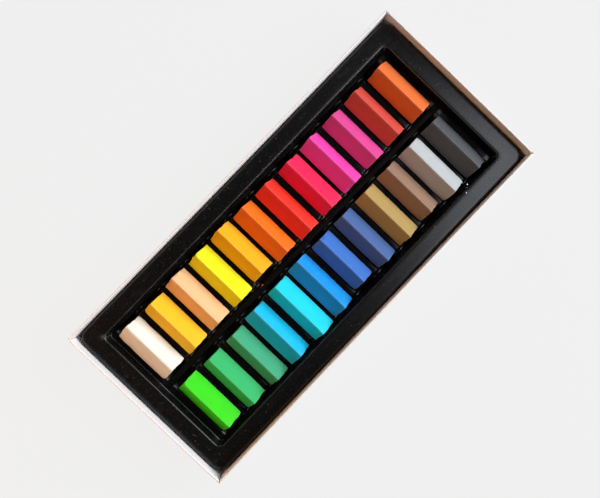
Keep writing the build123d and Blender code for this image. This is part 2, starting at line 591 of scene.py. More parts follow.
class Pastel(Enum):
    """The sticks from -X to +X, the row at +Y first."""

    white = Laid(linear(249, 246, 230), 14.2, -0.60, 7.0, 1.0)
    gold = Laid(linear(252, 201, 22), 13.75, 0.40, -5.0)
    peach = Laid(linear(252, 199, 142), 13.6, 0.35, -3.0)
    yellow = Laid(linear(252, 247, 0), 13.7, 0.55, -4.5)
    amber = Laid(linear(252, 182, 0), 13.7, 0.50, -2.5)
    orange = Laid(linear(252, 116, 0), 13.2, -0.05, 5.0)
    red = Laid(linear(250, 50, 31), 13.0, -0.35, 6.5)
    crimson = Laid(linear(249, 26, 82), 13.7, 0.35, -6.5)
    magenta = Laid(linear(249, 66, 170), 13.1, -0.40, 5.5)
    purple = Laid(linear(224, 69, 145), 13.0, 0.0, 0.5)
    dark_red = Laid(linear(213, 73, 59), 13.0, -0.15, 3.5)
    vermilion = Laid(linear(235, 112, 44), 13.6, 1.15, -7.5)
    lime = Laid(linear(55, 228, 0), 13.5, 0.35, -10.5)
    green = Laid(linear(51, 191, 107), 12.7, 0.55, -8.5)
    sea_green = Laid(linear(64, 174, 125), 12.3, 0.60, -6.5)
    turquoise = Laid(linear(0, 192, 232), 13.2, -0.25, 4.5)
    cyan = Laid(linear(0, 218, 235), 13.4, 0.70, -10.0)
    sky_blue = Laid(linear(0, 150, 228), 13.0, -0.25, 5.0)
    ultramarine = Laid(linear(58, 116, 197), 12.8, 0.30, -4.0)
    navy = Laid(linear(72, 103, 159), 12.4, 0.30, -5.0)
    ochre = Laid(linear(182, 150, 84), 13.3, 0.35, -6.0)
    brown = Laid(linear(152, 118, 95), 13.1, 0.40, -4.0)
    light_grey = Laid(linear(188, 190, 187), 13.7, 0.25, -9.0)
    black = Laid(linear(77, 79, 81), 13.4, 0.40, -2.5)


# ---------------------------------------------------------------- the insert's shape


@dataclass
class Wave:
    """The cut across one row of grooves: flat bottoms, steep flanks and round-shouldered ridges."""

    pitch: float = 16.05
    columns: int = 12
    low_z: float = 1.4
    floor_half: float = 1.95
    flank: float = math.radians(52.5)
    bottom_radius: float = 1.2
    ridge_z: float = 7.5
    ridge_radius: float = 1.0
    bar_z: float = 8.0

    @property
    def centres(self) -> np.ndarray:
        """The middle of each groove, along X."""
        return (np.arange(self.columns) - (self.columns - 1) / 2) * self.pitch

    def half_groove(self, top_z: float) -> np.ndarray:
        """Half a groove, from its round corner up to the edge of what lies beside it.

        Args:
            top_z: Height of the flat beside the groove.

        Returns:
            Shape (points, 2), distance from the groove's middle and height. The arcs touch the flats at the
            radius times the tangent of half the flank's angle from the corners that they round.
        """
        turn = np.linspace(0.0, self.flank, 4)[:, None]
        sweep = np.hstack([np.sin(turn), 1.0 - np.cos(turn)])
        reach = math.tan(self.flank / 2)
        low = np.array([self.floor_half - self.bottom_radius * reach, self.low_z])
        top = np.array([self.floor_half + (top_z - self.low_z) / math.tan(self.flank), top_z])
        top[0] += self.ridge_radius * reach
        bottom = low + self.bottom_radius * sweep
        shoulder = top - self.ridge_radius * sweep[::-1]
        share = np.linspace(0.0, 1.0, 4)[1:-1, None]
        return np.vstack([bottom, bottom[-1] + (shoulder[0] - bottom[-1]) * share, shoulder])

    def line(self, reach: float, margin: float) -> np.ndarray:
        """The whole cut, from one end of the well's floor to the other.

        Args:
            reach: Half the length of the well's floor.
            margin: How far the round corner of the floor comes in.

        Returns:
            Shape (points, 2), x and height, with x rising.
        """
        groove = self.half_groove(self.ridge_z)
        rise = np.vstack([groove[::-1] * (-1.0, 1.0), [[0.0, self.low_z]]])
        whole = np.vstack([rise, groove, [[self.pitch / 2, self.ridge_z]]])
        right = self.centres[self.columns // 2 :]
        last = np.vstack([rise, self.half_groove(self.bar_z)]) + (right[-1], 0.0)
        run = np.array([last[-1, 0] + 0.6, reach - margin - 0.3, *np.linspace(reach - margin, reach, 6)])
        tail = np.column_stack([run, np.full(len(run), self.bar_z)])
        half = np.vstack([*(whole + (centre, 0.0) for centre in right[:-1]), last, tail])
        return np.vstack([half[::-1] * (-1.0, 1.0), [[0.0, self.ridge_z]], half])

    def rest(self, aside: float, reach: Callable[[float], float]) -> float:
        """Height at which a stick comes to rest on the bottom or on a flank, whichever it meets first.

        Args:
            aside: How far its axis lies from the groove's middle, towards +X.
            reach: How far the stick reaches from its axis in a direction, an angle from +X in radians.

        Returns:
            Height of the stick's axis.
        """
        down = -math.pi / 2
        heights = [self.low_z + reach(down)]
        for side in (-1.0, 1.0):
            along = (side * aside - self.floor_half) * math.sin(self.flank)
            above = (along + reach(down + side * self.flank)) / math.cos(self.flank)
            heights.append(self.low_z + above)
        return max(heights)


@dataclass
class FormedInsert:
    """The black insert as one formed sheet: floor with two rows of grooves, well walls, rim and skirt.

    roll is the radius of the rim's outer edge and edge_round that of its inner one. The valley that parts a
    ridge's end from what lies beside it is flat for valley_floor and has risen again at valley_end.
    """

    wave: Wave = field(default_factory=Wave)
    rim_z: float = 14.1
    foot_z: float = 1.35
    sheet: float = 0.5
    rim_half: tuple[float, float] = (109.55, 48.80)
    rim_corner: float = 6.3
    roll: float = 1.5
    skirt_flare: float = 0.22
    well_half: tuple[float, float] = (100.0, 39.5)
    well_draft: float = math.tan(math.radians(7.0))
    well_corner: float = 1.25
    edge_round: float = 0.9
    foot_round: float = 0.8
    bar_half: float = 1.4
    end_slope: float = math.tan(math.radians(3.0))
    shoulder: float = 0.45
    heel: float = 0.5
    rub_reach: float = 1.1
    valley: float = 1.5
    valley_floor: float = 0.5
    valley_end: float = 1.9

    @property
    def drop(self) -> float:
        """From the rim down to the bar."""
        return self.rim_z - self.wave.bar_z

    @property
    def floor_half(self) -> tuple[float, float]:
        """Half sizes of the flat part of the well's floor, inside the round foot of its walls."""
        inward = self.drop * self.well_draft + self.foot_round
        return self.well_half[0] - inward, self.well_half[1] - inward

    def groove_end(self, depth: np.ndarray) -> tuple[np.ndarray, np.ndarray]:
        """The drafted end of a groove, from the bar's shoulder to the groove's bottom.

        Args:
            depth: How far the groove lies below the bar, for each station.

        Returns:
            Distance into the groove, and depth below the bar, each of shape (samples, stations): a quarter
            round, a straight drafted wall and another quarter round. Where the depth runs out, the samples
            spread evenly instead.
        """
        top = np.minimum(self.shoulder, 0.45 * depth)
        low = np.minimum(self.heel, 0.45 * depth)
        turn = np.linspace(0.0, math.pi / 2, 4)[:, None]
        first = (-top + top * np.sin(turn), top - top * np.cos(turn))
        share = np.linspace(0.0, 1.0, 4)[1:-1, None]
        wall = top + (depth - top - low) * share
        middle = (wall * self.end_slope, wall)
        last = (
            (depth - low) * self.end_slope + low - low * np.cos(turn),
            depth - low + low * np.sin(turn),
        )
        run = np.concatenate([first[0], middle[0], last[0]])
        fall = np.concatenate([first[1], middle[1], last[1]])
        even = np.linspace(-self.shoulder, self.heel + 0.2, len(run))[:, None]
        share = smooth(0.02, 0.9, depth)[None, :]
        return run * share + even * (1.0 - share), fall

    def floor(self) -> np.ndarray:
        """The well's floor as a grid of points.

        Returns:
            Shape (rows, stations, 3), rows from -Y to +Y. Both rows of grooves are the same cut, mirrored. A
            short valley parts each ridge's ends from the bar and from the wall, and the four corners are
            eased round as a square is mapped onto a disc.
        """
        reach_x, reach_y = self.floor_half
        x, height = self.wave.line(reach_x, self.well_corner).T
        depth = np.clip(self.wave.bar_z - height, 0.0, None)
        between = np.abs(x) < self.wave.centres[-1]
        sunk = self.valley * smooth(2.4, 0.8, depth) * between
        run, fall = self.groove_end(depth + sunk)
        inner = self.bar_half + run
        outer = (reach_y - 0.02) - run[::-1]
        near = np.linspace(0.25, self.valley_end + 0.3, 6)[:, None]
        climb = depth + sunk * smooth(self.valley_end, self.valley_floor, near)
        spread = np.linspace(0.0, 1.0, 6)[1:-1, None]
        first, last = inner[-1] + near, outer[0] - near[::-1]
        middle = first[-1] + (last[0] - first[-1]) * spread
        half_y = np.concatenate([inner, first, middle, last, outer])
        level = np.repeat(depth[None, :], len(spread), 0)
        half_fall = np.concatenate([fall, climb, level, climb[::-1], fall[::-1]])
        edge = np.full((1, len(x)), reach_y)
        half_y = np.concatenate([half_y, edge])
        half_fall = np.concatenate([half_fall, np.zeros((1, len(x)))])
        bar = np.zeros((1, len(x)))
        y = np.concatenate([-half_y[::-1], bar, half_y])
        z = self.wave.bar_z - np.concatenate([half_fall[::-1], bar, half_fall])
        grid = np.stack([np.broadcast_to(x, y.shape), y, z], axis=-1).copy()
        return self.round_corners(grid)

    def round_corners(self, grid: np.ndarray) -> np.ndarray:
        """Pulls the grid's square corners in to round ones.

        Args:
            grid: The floor's points.

        Returns:
            The points, with corner shares a and b moved to a * sqrt(1 - b*b/2) and b * sqrt(1 - a*a/2).
        """
        size = np.array(self.floor_half)
        side = np.sign(grid[..., :2])
        share = (np.abs(grid[..., :2]) - (size - self.well_corner)) / self.well_corner
        both = (share > 0).all(axis=-1)
        a = np.clip(share[..., 0], 0.0, 1.0)
        b = np.clip(share[..., 1], 0.0, 1.0)
        moved = np.stack([a * np.sqrt(1 - b * b / 2), b * np.sqrt(1 - a * a / 2)], axis=-1)
        place = side * (size - self.well_corner + self.well_corner * moved)
        grid[..., :2] = np.where(both[..., None], place, grid[..., :2])
        return grid

    def rings(self, border: np.ndarray) -> np.ndarray:
        """Everything round the floor: wall, rim, rolled edge and skirt, as rings of the border's points.

        Args:
            border: The floor's outline, counter-clockwise, shape (points, 3).

        Returns:
            Shape (rings, points, 3). Each ring is a rectangle with round corners; its half sizes, corner and
            height follow the section from the foot of the wall to the foot of the skirt.
        """
        size = np.array(self.floor_half)
        core = size - self.well_corner
        across = np.abs(border[:, :2])
        corner = (across > core + 1e-6).all(axis=1)
        offset = np.clip(across - core, 0.0, None)
        angle = np.arctan2(offset[:, 1], offset[:, 0])
        side = np.where(border[:, :2] >= 0, 1.0, -1.0)
        direction = np.stack([np.cos(angle), np.sin(angle)], axis=1)
        share = np.clip(across / core, 0.0, 1.0)
        face_x = across[:, 0] >= size[0] - 1e-6
        out = np.where(corner[:, None], direction, np.where(face_x[:, None], (1.0, 0.0), (0.0, 1.0)))
        rows = []
        for half_x, half_y, radius, z in self.section():
            inner = np.array([half_x, half_y]) - radius
            flat = side * (np.minimum(share, 1.0) * inner + radius * out)
            rows.append(np.column_stack([flat, np.full(len(border), z)]))
        return np.array(rows)

    def section(self) -> list[tuple[float, float, float, float]]:
        """The insert's section outside its floor, from the foot of the well's wall outwards.

        Returns:
            Half sizes along X and Y, corner radius and height of each ring: a quarter round at the wall's
            foot, the drafted wall, a quarter round up to the flat rim, the rolled edge and the flared skirt.
        """
        floor_x, floor_y = self.floor_half
        low = self.wave.bar_z
        steps = []
        for turn in np.linspace(0.25, 1.0, 4) * math.pi / 2:
            out = self.foot_round * math.sin(turn)
            steps.append((out, low + self.foot_round * (1 - math.cos(turn))))
        wall_run = self.drop * self.well_draft
        rise = np.linspace(0.0, 1.0, 5)[1:]
        start_z = low + self.foot_round
        end_z = self.rim_z - self.edge_round
        for share in rise:
            z = start_z + (end_z - start_z) * share
            steps.append((self.foot_round + (z - low) * self.well_draft, z))
        corner_out = self.foot_round + wall_run
        for turn in np.linspace(0.2, 1.0, 5) * math.pi / 2:
            out = self.edge_round * (1 - math.cos(turn)) - self.edge_round * self.well_draft
            steps.append((corner_out + out, end_z + self.edge_round * math.sin(turn)))
        section = [(floor_x + out, floor_y + out, self.well_corner + out, z) for out, z in steps]
        inner = np.array(section[-1])
        flat_x, flat_y = self.rim_half[0] - self.roll, self.rim_half[1] - self.roll
        flat = np.array([flat_x, flat_y, self.rim_corner - self.roll, self.rim_z])
        section += [tuple(inner + (flat - inner) * share) for share in np.linspace(0.0, 1.0, 6)[1:]]
        for turn in np.linspace(0.125, 1.0, 8) * math.pi / 2:
            out = self.roll * math.sin(turn)
            z = self.rim_z - self.roll * (1 - math.cos(turn))
            section.append((flat_x + out, flat_y + out, self.rim_corner - self.roll + out, z))
        last = section[-1]
        for share in np.linspace(0.0, 1.0, 5)[1:]:
            out = self.skirt_flare * share
            z = last[3] + (self.foot_z - last[3]) * share
            section.append((last[0] + out, last[1] + out, last[2] + out, z))
        return section

    def build(self) -> bpy.types.Object:
        """Makes the insert's mesh, with its thickness and its paint.

        Returns:
            The insert.
        """
        skin = Skin()
        grid = self.floor()
        index = skin.grid(grid)
        loop = np.concatenate([index[0, :-1], index[:-1, -1], index[-1, :0:-1], index[:0:-1, 0]])
        points = grid.reshape(-1, 3)
        rings = skin.add(self.rings(points[loop]))
        skin.weave(np.vstack([loop[None, :], rings])[::-1], closed=True)
        piece = skin.mesh("formed_insert")
        self.stain(piece, np.vstack(skin.points))
        self.dull(piece, np.vstack(skin.points), len(points))
        thicken = piece.modifiers.new("sheet", "SOLIDIFY")
        thicken.thickness = self.sheet * MM
        thicken.offset = -1.0
        return piece

    def stain(self, piece: bpy.types.Object, points: np.ndarray) -> None:
        """Paints each point: the nearest stick's colour, how much of it lies there, and a painted glint at
        the well's -X, +Y corner.

        Args:
            piece: The insert.
            points: All its points, in millimetres.
        """
        first = (self.wave.columns - 1) / 2 * self.wave.pitch
        column = np.clip(np.round((points[:, 0] + first) / self.wave.pitch), 0, self.wave.columns - 1)
        row = np.where(points[:, 1] > 0, 0, 1)
        colours = np.array([pastel.value.colour for pastel in Pastel])
        paint(piece, "pigment", colours[row * self.wave.columns + column.astype(int)])
        low = smooth(self.rim_z - 1.0, self.wave.bar_z - 1.0, points[:, 2])
        by_bar = np.exp(-np.abs(np.abs(points[:, 1]) - 2.5) / 2.0)
        paint(piece, "stain", np.clip(low * (0.25 + 0.75 * by_bar), 0.0, 1.0))
        # Painted glint: a pale patch round the well's -X, +Y corner, near the rim's height.
        corner = np.array([-1.0, 1.0]) * np.array(self.well_half)
        away = np.linalg.norm(points[:, :2] - corner, axis=1)
        top = smooth(self.rim_z - 1.5, self.rim_z, points[:, 2])
        paint(piece, "rubbed_and_glint", 0.35 * np.exp(-((away / self.rub_reach) ** 2)) * top)

    def dull(self, piece: bpy.types.Object, points: np.ndarray, floor_count: int) -> None:
        """Paints how matt the sheet is: 1 in its depths and down its outer side, 0 where it shines. The same
        value thins the sheet's pale dust there, as painted shade.

        Args:
            piece: The insert.
            points: All its points, in millimetres.
            floor_count: How many of them, from the first, belong to the well's floor.
        """
        across = np.abs(points[:, 1])
        inner, outer = self.bar_half + self.heel, self.floor_half[1] - self.heel
        from_end = np.minimum(across - inner, outer - across)
        from_ridge = np.abs((points[:, 0] / self.wave.pitch + 0.5) % 1.0 - 0.5) * self.wave.pitch
        on_ridge = smooth(2.3, 1.5, from_ridge) * smooth(-0.2, 0.2, from_end)
        shiny = on_ridge * smooth(self.valley_end + 0.7, self.valley_end, from_end)
        outside = (np.abs(points[:, :2]) > np.array(self.rim_half) - self.roll + 0.01).any(axis=1)
        side = smooth(self.rim_z - 0.25, self.rim_z - 0.75, points[:, 2]) * outside
        foot = smooth(self.wave.bar_z + 1.5, self.wave.bar_z + 1.0, points[:, 2])
        foot *= ~outside & (points[:, 0] > 1.0 - self.floor_half[0])
        on_floor = np.arange(len(points)) < floor_count
        paint(piece, "deep", np.where(on_floor, 1.0 - shiny, np.maximum(side, foot)))


# ---------------------------------------------------------------- the folded card tray


@dataclass
class FoldedTray:
    """The card tray: base and doubled walls from one sheet, with soft folds and open corner seams.

    fold and edge are the radii of a wall's inner and outer top edge, and crease that round the base. A seam
    is seam wide to each side of the corner, seam_reach deep and notched at its top. dip lowers the end walls'
    folds beside the long walls, which bow in by bow_far and bow_near, and pinch draws in the end walls' ends.
    Both faces of a wall have rings at the heights in levels.
    """

    half: tuple[float, float] = (111.0, 50.25)
    height: float = 19.0
    wall: float = 0.9
    base: float = 0.8
    ply: float = 0.45
    tuck: float = 9.0
    fold: float = 0.42
    edge: float = 0.16
    crease: float = 0.3
    middle: float = 30.0
    levels: tuple[float, ...] = (5.0, 9.0, 13.0, 16.0, 17.6)
    corner: float = 0.45
    seam: float = 0.16
    seam_reach: float = 0.6
    notch: float = 2.2
    dip: float = 1.1
    dip_z: float = 16.5
    bow_far: float = 0.45
    bow_near: float = 0.22
    pinch: float = 0.22

    def stations(self) -> tuple[np.ndarray, np.ndarray]:
        """Where the wall is sampled on its way round.

        Returns:
            For one side, places measured in from each end, and the angles of one rounded corner.
        """
        near = np.array([0.05, self.seam, 0.22, 0.35, 0.55, 0.8, 1.1, 1.6, 2.6, 4.5, 8.0])
        return near, np.linspace(0.0, math.pi / 2, 7)

    def path(self, inset: float) -> np.ndarray:
        """The way round at one distance inside the outer face.

        Args:
            inset: How far in from the outer face.

        Returns:
            Shape (points, 5), counter-clockwise: x, y, the distance from the nearest corner, 1 on an end
            wall or 0 on a long one, and 1 for the middle of a corner's crease.
        """
        near, turns = self.stations()
        radius = max(self.corner - inset, 0.02)
        size = np.array(self.half) - inset
        corners = [(1, 1), (-1, 1), (-1, -1), (1, -1)]
        rows = []
        for k, corner in enumerate(corners):
            centre = np.array(corner) * (size - radius)
            angles = k * math.pi / 2 + turns
            arc = centre + radius * np.stack([np.cos(angles), np.sin(angles)], axis=1)
            after_end = k % 2 == 0
            mark = np.where(np.arange(len(turns)) < len(turns) // 2, after_end, not after_end)
            rows.append(np.column_stack([arc, np.zeros(len(turns)), mark, np.ones(len(turns))]))
            begin = arc[-1]
            finish = begin - centre + np.array(corners[(k + 1) % 4]) * (size - radius)
            length = float(np.linalg.norm(finish - begin))
            inner = np.linspace(near[-1], length - near[-1], 15)[1:-1]
            along = np.concatenate([near, inner, length - near[::-1]])
            line = begin + (finish - begin) * (along / length)[:, None]
            away = np.minimum(along, length - along)
            on_end = np.full(len(along), float(not after_end))
            rows.append(np.column_stack([line, away, on_end, away < 0.1]))
        return np.vstack(rows)

    def section(self) -> list[tuple[float, float]]:
        """The tray's section, from the middle of the underside over the fold to the middle of the base.

        Returns:
            Inset and height of each ring: the underside, a quarter round at its edge, the outer face, two
            quarter rounds for the fold, the inner face, the turned-in foot and the base.
        """
        quarter = math.pi / 2
        rings = [(self.middle, 0.0), (6.0, 0.0), (1.2, 0.0)]
        rings += [
            (self.crease * (1 - math.sin(t)), self.crease * (1 - math.cos(t)))
            for t in np.linspace(0.0, quarter, 4)
        ]
        shoulder = self.height - self.edge
        rings += [(0.0, z) for z in (2.0, *self.levels, shoulder)]
        rings += [
            (self.edge * (1 - math.cos(t)), shoulder + self.edge * math.sin(t))
            for t in np.linspace(0.25, 1.0, 4) * quarter
        ]
        top = self.height - self.fold
        rings += [
            (self.wall - self.fold * (1 - math.sin(t)), top + self.fold * math.cos(t))
            for t in np.linspace(0.0, 1.0, 6) * quarter
        ]
        foot, toe = self.base + self.ply, self.wall + self.tuck
        rings += [(self.wall, z) for z in (*self.levels[::-1], foot)]
        return rings + [(toe - 0.1, foot), (toe, foot - 0.1), (toe, self.base), (self.middle, self.base)]

    def build(self) -> bpy.types.Object:
        """Makes the tray's mesh: its section carried round, bowed, dipped and opened at the corners, with
        painted shade marked along the corner seams.

        Returns:
            The tray.
        """
        rings, slits = [], []
        for inset, z in self.section():
            way = self.path(inset)
            rings.append(self.settle(way, inset, z))
            # Marks the corner seams on the inner ply, where painted shade goes.
            inside = smooth(self.fold * 0.5, self.fold, np.array(inset)) * (inset <= self.wall)
            slits.append(way[:, 4] * inside)
        points = np.array(rings)
        skin = Skin()
        index = skin.grid(points, closed=True)
        skin.plate(index[0][::-1])
        skin.plate(index[-1])
        piece = skin.mesh("folded_tray")
        flat = points.reshape(-1, 3)
        worn = smooth(self.height - 1.6, self.height - 0.1, flat[:, 2])
        from_corner = np.linalg.norm(np.abs(flat[:, :2]) - np.array(self.half), axis=1)
        paint(piece, "worn", np.clip(0.35 + 0.5 * worn + np.exp(-from_corner / 4.0), 0.0, 1.0))
        # Painted shade along the corner seams.
        paint(piece, "seam_shade", np.array(slits).ravel())
        return piece

    def settle(self, way: np.ndarray, inset: float, z: float) -> np.ndarray:
        """Gives one ring its place in space, with the tray's small faults.

        Args:
            way: What path() says about the ring.
            inset: How far the ring lies in from the outer face.
            z: Its height.

        Returns:
            Shape (points, 3). Long walls bow in by a parabola of x that grows with the square of z, end
            walls are drawn in at their ends, their folds dip by a quarter round beside the long walls, and
            the seams are pulled out towards the corner.
        """
        x, y, away, on_end, crease = way.T
        out = np.column_stack([x, y, np.full(len(x), z)])
        up = (z / self.height) ** 2
        lean = up * np.clip(1.2 - inset / 6.0, 0.0, 1.0)
        bow = np.where(y > 0, self.bow_far, self.bow_near)
        long_wall = np.abs(y) > self.half[1] - 12.0
        out[:, 1] -= np.where(long_wall, np.sign(y) * bow * lean * (1 - (x / self.half[0]) ** 2), 0.0)
        end_wall = np.abs(x) > self.half[0] - 12.0
        out[:, 0] -= np.where(end_wall, np.sign(x) * self.pinch * lean * (y / self.half[1]) ** 4, 0.0)
        if z > self.dip_z:
            past = np.clip(self.dip - (away + inset - self.wall), 0.0, self.dip)
            dip = self.dip - np.sqrt(np.clip(self.dip**2 - past**2, 0.0, None))
            share = smooth(self.dip_z, self.height, np.array(z))
            out[:, 2] -= np.where((on_end > 0.5) & (away + inset > self.wall), dip * share * 0.8, 0.0)
        if inset > self.fold * 0.6 and z > self.base + self.ply + 0.1 and inset <= self.wall:
            depth = self.seam_reach * smooth(self.fold * 0.6, self.wall, np.array(inset))
            out[:, 0] += np.sign(x) * crease * depth * 0.7
            out[:, 1] += np.sign(y) * crease * depth * 0.7
            out[:, 2] -= crease * self.notch * smooth(self.height - 1.5, self.height, np.array(z))
        return out


# ---------------------------------------------------------------- the sticks


@dataclass
class Stick:
    """One square pastel on its edge in a groove: long edges worn round, ends crumbled.

    Lengths are in millimetres. The wear of an end dies away over end_reach. chip is how much the noise above
    chip_from takes off near an end, nick the same along the edges, and corner_loss what the corners lose.
    sink is how far an end is pushed in where it crumbled, and slant how far it is out of square.
    """

    pastel: Pastel
    seed: int
    wave: Wave
    lips: tuple[float, ...] = (0.0, 0.05, 0.12, 0.22, 0.35, 0.6, 0.95, 1.4, 2.0, 2.8)
    middle_samples: int = 24
    flat_samples: int = 9
    arc_samples: int = 7
    end_round: float = 0.2
    end_reach: float = 1.1
    clearance: float = 0.05
    grit: float = 0.04
    chip: float = 2.2
    chip_from: float = 0.6
    nick: float = 0.25
    nick_from: float = 0.35
    corner_loss: float = 0.3
    sink: float = 0.45
    slant: float = 0.35
    cap_shares: tuple[float, ...] = (0.82, 0.58, 0.32, 0.08)

    @property
    def laid(self) -> Laid:
        """How it is laid."""
        return self.pastel.value

    @property
    def core(self) -> float:
        """From the axis to the middle of a round edge, so that the rolled section is as broad as it shows."""
        return (self.laid.breadth / 2 - self.laid.wear) / math.cos(math.radians(self.laid.roll))

    @property
    def half(self) -> float:
        """Half the side of its square section."""
        return self.core / math.sqrt(2) + self.laid.wear

    def reach(self, angle: float) -> float:
        """How far the section reaches from its axis in a direction, an angle from +X in radians."""
        edges = np.arange(4) * math.pi / 2 - math.radians(self.laid.roll)
        return self.laid.wear + self.core * float(np.cos(angle - edges).max())

    def section(self, radius: np.ndarray) -> np.ndarray:
        """The square with round corners, rolled as the stick lies.

        Args:
            radius: The corner radius at each ring, shape (rings,).

        Returns:
            Shape (rings, points, 2): x and z about the stick's axis, clockwise seen from the -Y end.
        """
        radius = radius[:, None]
        flat = self.half - radius
        turn = np.linspace(0.0, math.pi / 2, self.arc_samples)[None, :]
        share = np.linspace(1.0, -1.0, self.flat_samples + 2)[None, 1:-1]
        side = np.broadcast_to(self.half, (len(radius), self.flat_samples))
        u = np.concatenate([flat + radius * np.cos(turn), share * flat], axis=1)
        v = np.concatenate([flat + radius * np.sin(turn), side], axis=1)
        parts = []
        for quarter in range(4):
            angle = quarter * math.pi / 2 + math.pi / 4 - math.radians(self.laid.roll)
            cosine, sine = math.cos(angle), math.sin(angle)
            parts.append(np.stack([u * cosine - v * sine, u * sine + v * cosine], axis=-1))
        return np.concatenate(parts, axis=1)[:, ::-1]

    def noise(self, places: np.ndarray, cell: float, field_number: int) -> np.ndarray:
        """One of the stick's own fields of soft noise, from 0 to 1."""
        return 0.5 + 0.5 * soft_noise(places, cell, self.seed + field_number)

    def stations(self, length: float) -> tuple[np.ndarray, np.ndarray]:
        """Where along the stick it is sampled, closely near its ends.

        Args:
            length: The stick's length, in millimetres.

        Returns:
            The distance of each station from the -Y end, and from the nearer end.
        """
        lip = np.array(self.lips)
        middle = np.linspace(lip[-1], length - lip[-1], self.middle_samples)[1:-1]
        along = np.concatenate([lip, middle, length - lip[::-1]])
        return along, np.minimum(along, length - along)

    def inward(self, edge: np.ndarray, wear: np.ndarray, fine: np.ndarray, corner: np.ndarray) -> np.ndarray:
        """How far each point of the sides has worn towards the axis.

        Args:
            edge: Distance to the nearer end, shape (stations,).
            wear: Coarse noise, from 0 to 1, shape (stations, points) as are the others.
            fine: Fine noise, from 0 to 1.
            corner: 1 on a long edge and 0 on the flats.

        Returns:
            Shape (stations, points): the end's quarter round, grit, chips near the ends, nicks along the
            edges and what the corners lose, added up.
        """
        past = np.clip(self.end_round - edge, 0, None)
        rounding = self.end_round - np.sqrt(np.clip(self.end_round**2 - past**2, 0, None))
        near_end = self.near_end(edge)
        chips = self.chip * near_end * np.clip(wear - self.chip_from, 0, None)
        nicks = self.nick * corner * np.clip(fine * wear - self.nick_from, 0, None)
        lost = self.corner_loss * near_end * corner * wear
        return rounding[:, None] + self.grit * fine + chips + nicks + lost

    def near_end(self, edge: np.ndarray) -> np.ndarray:
        """1 at an end, dying away from it, as a column."""
        return np.exp(-edge / self.end_reach)[:, None]

    def pushed(self, along: np.ndarray, edge: np.ndarray, place: np.ndarray) -> np.ndarray:
        """Where each point lies along the stick once its ends have crumbled and are out of square.

        Args:
            along: Distance of each station from the -Y end.
            edge: Its distance from the nearer end.
            place: Every point before it is moved, shape (stations, points, 3).

        Returns:
            Shape (stations, points): along, moved in by the noise of the end and by its slant, which grows
            evenly across the stick.
        """
        near_end = self.near_end(edge)
        first = along < (along[-1] / 2)
        keys = np.array([[self.seed, 1, 0], [self.seed, 2, 0]], float)
        tilt = self.slant * lattice_value(keys, 11)
        sink = self.sink * near_end * self.noise(place, 2.4, 7)
        across = 0.5 + place[..., 0] / (4 * self.half)
        slant = np.where(first, tilt[0], tilt[1])[:, None] * across
        return along[:, None] + np.where(first, 1.0, -1.0)[:, None] * (sink + np.abs(slant) * near_end)

    def build(self) -> bpy.types.Object:
        """Makes the stick where its CAD node lies.

        Returns:
            The stick: its section carried along Y, every point worn towards the axis and pushed in near the
            ends, and each end closed by a crumbled cap.
        """
        low, high = (np.array(corner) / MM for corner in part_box("pastel_" + self.pastel.name))
        along, edge = self.stations(high[1] - low[1])
        line = np.column_stack([along * 0, along, along * 0])
        lumps = 1.2 + 0.2 * soft_noise(line, 4.0, self.seed)
        ring = self.section(self.laid.wear * lumps + 0.2 * np.exp(-edge / 0.6))
        level = np.broadcast_to(along[:, None], ring.shape[:2])
        place = np.stack([ring[..., 0], level, ring[..., 1]], axis=-1)
        reach = np.linalg.norm(ring, axis=-1)
        corner = smooth(0.84, 0.95, reach / (self.half * math.sqrt(2)))
        wear, fine = self.noise(place, 1.7, 3), self.noise(place, 0.6, 5)
        shape = ring * (1.0 - self.inward(edge, wear, fine, corner) / reach)[..., None]
        points = np.stack([shape[..., 0], self.pushed(along, edge, place), shape[..., 1]], axis=-1)
        full = np.concatenate([self.cap(points[0], 1.0)[::-1], points, self.cap(points[-1], -1.0)])
        middle = (low[0] + high[0]) / 2
        groove = self.wave.centres[np.abs(self.wave.centres - middle).argmin()]
        rest = self.wave.rest(self.laid.aside, self.reach) + self.clearance
        skin = Skin()
        index = skin.grid(full + np.array([groove + self.laid.aside, low[1], rest]), closed=True)
        skin.plate(index[0][::-1])
        skin.plate(index[-1])
        piece = skin.mesh("chalk_" + self.pastel.name)
        caps = len(self.cap_shares)
        worn, tip = np.zeros(index.shape), np.ones(index.shape)
        worn[caps:-caps] = corner * (0.4 + 0.6 * wear)
        tip[caps:-caps] = self.near_end(edge)
        paint(piece, "worn", worn.ravel())
        paint(piece, "tip", tip.ravel())
        return piece

    def cap(self, rim: np.ndarray, inward: float) -> np.ndarray:
        """The crumbled face of one end, as rings that close towards its middle.

        Args:
            rim: The end's outline.
            inward: 1 where the stick lies towards +Y of this face, or -1.

        Returns:
            Shape (rings, points, 3), from the outline inwards, roughened by two fields of noise.
        """
        middle = rim.mean(axis=0)
        rows = []
        for share in self.cap_shares:
            ring = middle + (rim - middle) * share
            coarse = soft_noise(ring, 1.5, self.seed + 9)
            rough = 0.18 * coarse + 0.08 * soft_noise(ring, 0.5, self.seed + 10)
            ring[:, 1] += inward * np.clip(rough + 0.12, 0.0, None)
            rows.append(ring)
        return np.array(rows)


